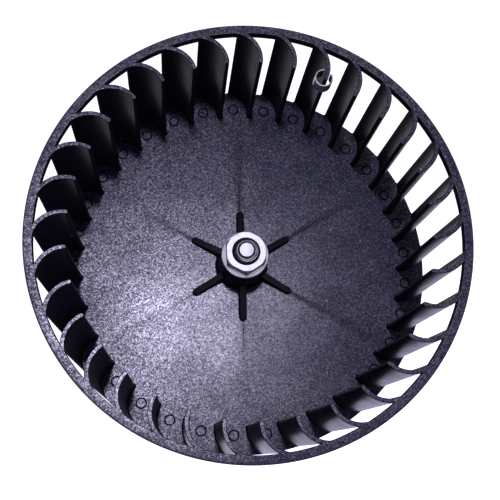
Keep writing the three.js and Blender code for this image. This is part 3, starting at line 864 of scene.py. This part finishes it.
def make_plate():
    """Pressed plate: a disc with three round-ended ears and a raised bead."""
    edge = 0.35
    inner = CUP_RADIUS + 0.3
    disc = softened([(inner, PLATE_BOTTOM), (PLATE_RADIUS, PLATE_BOTTOM),
                     (PLATE_RADIUS, PLATE_TOP), (inner, PLATE_TOP)], [edge] * 4)
    plate = mesh_object("plate", lathe(disc, ROUND_SIDES))
    turns = [EAR_TURN + i * TAU / EARS for i in range(EARS)]
    for turn in turns:
        boolean(plate, turned(ear(edge), turn), "UNION")
    boolean(plate, plate_bead(), "UNION")
    holes = [screw_hole(i) for i in range(EARS)] + [turned(ear_hole(), turn) for turn in turns]
    boolean(plate, merged(holes), "DIFFERENCE")
    finish_piece(plate, "motor", ["mounting_plate"], "zinc_plate", 30)


def recess(head, turn):
    """A cutter for one slot of a screw's cross recess; it tapers towards its floor."""
    half, width = 2.0, 0.42
    levels = []
    for height, along, across in ((head - 1.5, half * 0.55, width * 0.7), (head + 0.3, half, width)):
        plan = [(-along, -across), (along, -across), (along, across), (-along, across)]
        levels.append([(x, y, height) for x, y in plan])
    return turned(loft(levels), turn)


def make_screws():
    """Pan-head screws with a cross recess."""
    shank, tip, domed, dome_radius = 2.0, 1.6, 2.9, 7.5
    rim = PLATE_TOP + 0.9
    for i in range(EARS):
        node = f"plate_screw_{i + 1}"
        foot = low(node).z
        head = high(node).z
        dome = arc(0, head - dome_radius, dome_radius, math.acos(domed / dome_radius), TAU / 4, 6)
        outline = [(0, foot), (tip, foot), (shank, foot + 0.6), (shank, PLATE_TOP),
                   (SCREW_HEAD, PLATE_TOP), (SCREW_HEAD, rim), (SCREW_HEAD - 0.25, rim + 0.45)]
        outline += dome[:-1] + [(0, head)]
        screw = mesh_object(f"screw_{i + 1}", lathe(outline, 40, closed=False))
        for k in range(2):
            boolean(screw, recess(head, TAU * (0.07 + k / 4)), "DIFFERENCE")
        screw.data.transform(Matrix.Translation((SCREW_CIRCLE, 0, 0)))
        screw.data.transform(Matrix.Rotation(SCREW_TURN + i * TAU / EARS, 4, "Z"))
        finish_piece(screw, "motor", [node], "zinc_plate", 30)


def socket_level(depth, half, bottom, top, corner, outset):
    """A round-cornered outline across the terminal socket, at one depth along Y."""
    half, bottom, top = half + outset, bottom - outset, top + outset
    corners = [(-half, bottom), (half, bottom), (half, top), (-half, top)]
    return [(x, depth, z) for x, z in softened(corners, [corner + outset] * 4)]


def make_cap():
    """Moulded rear cap: ribbed ring on its rear face, mould line round its side, terminal socket."""
    spigot = CAN_RADIUS - CAN_WALL - 0.3
    inner = CAN_RADIUS - 4.6
    seat = SEAT_RADIUS + 2.2
    floor = 3.0
    seat_top = floor + 8
    line = CAN_BOTTOM * 0.55
    groove_in, groove_out, groove_deep = 9.5, 13.5, 1.2     # plain groove in the rear face
    web_in, web_out, web_deep = 23, 29, 1.5                 # wider one, crossed by twelve ribs
    outline = softened(
        [(0, 0), (groove_in, 0), (groove_in, groove_deep), (groove_out, groove_deep), (groove_out, 0),
         (web_in, 0), (web_in, web_deep), (web_out, web_deep), (web_out, 0),
         (CAN_RADIUS, 0), (CAN_RADIUS, line - 0.2), (CAN_RADIUS - 0.15, line), (CAN_RADIUS, line + 0.2),
         (CAN_RADIUS, CAN_BOTTOM), (spigot, CAN_BOTTOM), (spigot, CAP_TOP), (inner, CAP_TOP),
         (inner, floor), (seat, floor), (seat, seat_top), (SEAT_RADIUS, seat_top),
         (SEAT_RADIUS, floor), (0, floor)],
        [0, 0.3, 0.3, 0.3, 0.3, 0.3, 0.4, 0.4, 0.3, 0.8, 0, 0, 0, 0.25, 0, 0, 0, 0.5, 0, 0, 0, 0, 0], 3)
    cap = mesh_object("cap", lathe(outline, ROUND_SIDES, closed=False))
    ribs = []
    for i in range(12):
        rib_box = box((web_in - 0.4, -0.6, 0.15), (web_out + 0.4, 0.6, web_deep + SINK))
        ribs.append(turned(rib_box, TAU * i / 12))
    boolean(cap, merged(ribs), "UNION")

    bottom, top, half, wall, corner = 1.0, 12.0, 10.0, 1.5, 1.5
    levels = []
    for depth, outset in round_in(SOCKET_END, 0.5) + [(-CAN_RADIUS + 5, 0)]:
        levels.append(socket_level(depth, half, bottom, top, corner, outset))
    boolean(cap, loft(levels), "UNION")
    latch_foot = top - 0.2
    latch_top = top + 0.9
    latch = [(SOCKET_END + 2, latch_foot), (SOCKET_END + 4.5, latch_top), (SOCKET_END + 6, latch_top),
             (SOCKET_END + 6, latch_foot)]
    boolean(cap, loft([[(x, y, z) for y, z in latch] for x in (-2.5, 2.5)]), "UNION")
    levels = []
    for depth, outset in [(SOCKET_END - 1, 0.9), (SOCKET_END + 0.6, 0), (-CAN_RADIUS - 2, 0)]:
        levels.append(socket_level(depth, half - wall, bottom + wall, top - wall, 0.8, outset))
    boolean(cap, loft(levels), "DIFFERENCE")
    finish_piece(cap, "motor", ["end_cap"], "cap_plastic", 30)


def make_terminals():
    """Flat blade terminals with a bevelled tip and a latching hole."""
    radius = 0.9
    for i in range(2):
        node = f"terminal_{i + 1}"
        left, tip, bottom = low(node)
        right, root, top = high(node)
        levels = []
        steps = [(tip, 0.25, 1.6), (tip + 0.9, 0, 0.7), (tip + 1.6, 0, 0), (root, 0, 0)]
        for depth, thin, narrow in steps:
            plan = [(left + thin, bottom + narrow), (right - thin, bottom + narrow),
                    (right - thin, top - narrow), (left + thin, top - narrow)]
            levels.append([(x, depth, z) for x, z in plan])
        terminal = mesh_object(f"terminal_blade_{i + 1}", loft(levels))
        circle = arc(tip + 4, (bottom + top) / 2, radius, 0, TAU, 20)[:-1]
        hole = loft([[(x, y, z) for y, z in circle] for x in (left - CLEAR, right + CLEAR)])
        boolean(terminal, hole, "DIFFERENCE")
        finish_piece(terminal, "motor", [node], "terminal_brass", 30)


make_wheel()
make_clip()
make_nut()
make_shaft()
make_can()
make_plate()
make_screws()
make_cap()
make_terminals()

# ---- CAD pieces that keep their shape get their paint --------------------------------------
for row in frame["record"]["subparts"]:
    kept = frame["nodes"][row["node"]]
    kept.data.materials.clear()
    kept.data.materials.append(PAINTS[row["material_slot"]])


# ---- Floor, light and camera ---------------------------------------------------------------
def add_floor():
    """A white light table: its own glow keeps the gaps between the blades white. It glows more
    towards +X and -Y, which lights the blades' sides there."""
    bpy.ops.mesh.primitive_plane_add(size=FLOOR_WIDTH, location=(0, 0, -FLOOR_GAP))
    floor = bpy.context.object
    floor.name = "floor"
    paint = Paint("floor")
    across, onward = GLOW_SIDE
    along = paint.plus(paint.times(paint.along("X"), across), paint.times(paint.along("Y"), onward))
    glow = paint.ramp(along, *GLOW_EDGE, *GLOW)
    glow_color = paint.mix(paint.ramp(along, *GLOW_EDGE), *GLOW_COLORS)
    floor.data.materials.append(
        paint.set(color=(0.45, 0.45, 0.45), rough=0.9, glow=glow, glow_color=glow_color))


def add_key():
    """A round lamp overhead, whose reflection is the sheen on the back plate."""
    data = bpy.data.lights.new("key", "AREA")
    data.shape = "DISK"
    data.size = KEY_WIDTH
    data.energy = KEY_RADIANCE * math.pi * math.pi * (KEY_WIDTH / 2) ** 2
    data.color = KEY_COLOR
    light = bpy.data.objects.new("key", data)
    bpy.context.collection.objects.link(light)
    light.location = KEY_PLACE
    light.rotation_mode = "QUATERNION"
    light.rotation_quaternion = (Vector(KEY_AIM) - Vector(KEY_PLACE)).to_track_quat("-Z", "Y")


def add_camera():
    """The camera looks down into the wheel, a little from -Y."""
    level = math.cos(CAMERA_ELEVATION)
    look = Vector((math.cos(CAMERA_HEADING) * level, math.sin(CAMERA_HEADING) * level,
                   -math.sin(CAMERA_ELEVATION)))
    data = bpy.data.cameras.new("camera")
    data.sensor_width = 36.0
    data.lens = CAMERA_LENS
    data.clip_start = 0.01
    camera = bpy.data.objects.new("camera", data)
    bpy.context.collection.objects.link(camera)
    camera.location = Vector(CAMERA_AIM) - look * CAMERA_DISTANCE
    camera.rotation_mode = "QUATERNION"
    upright = look.to_track_quat("-Z", "Y").to_matrix()
    camera.rotation_quaternion = (Matrix.Rotation(CAMERA_ROLL, 3, look) @ upright).to_quaternion()
    bpy.context.scene.camera = camera


def add_world():
    """Surroundings bright near the horizon and in a band half way up, dim overhead."""
    world = bpy.data.worlds.new("world")
    world.use_nodes = True
    tree = world.node_tree
    background = tree.nodes["Background"]
    direction = tree.nodes.new("ShaderNodeTexCoord").outputs["Generated"]
    split = tree.nodes.new("ShaderNodeSeparateXYZ")
    tree.links.new(direction, split.inputs[0])

    def fade(first, last, start, end):
        """A soft step between two elevations in degrees."""
        node = tree.nodes.new("ShaderNodeMapRange")
        node.interpolation_type = "SMOOTHSTEP"
        tree.links.new(split.outputs["Z"], node.inputs["Value"])
        for name, value in (("From Min", math.sin(math.radians(first))), ("To Min", start),
                            ("From Max", math.sin(math.radians(last))), ("To Max", end)):
            node.inputs[name].default_value = value
        return node.outputs["Result"]

    def combined(operation, a, b):
        node = tree.nodes.new("ShaderNodeMath")
        node.operation = operation
        tree.links.new(a, node.inputs[0])
        tree.links.new(b, node.inputs[1])
        return node.outputs["Value"]

    band = combined("MULTIPLY", fade(28, 36, 0.0, 0.85), fade(52, 62, 1.0, 0.0))
    strength = combined("ADD", band, fade(6, 20, 1.1, 0.07))
    tree.links.new(strength, background.inputs["Strength"])
    background.inputs["Color"].default_value = (0.92, 0.92, 1.0, 1)
    bpy.context.scene.world = world


add_floor()
add_world()
add_key()
add_camera()
bpy.context.scene.view_settings.view_transform = "Standard"
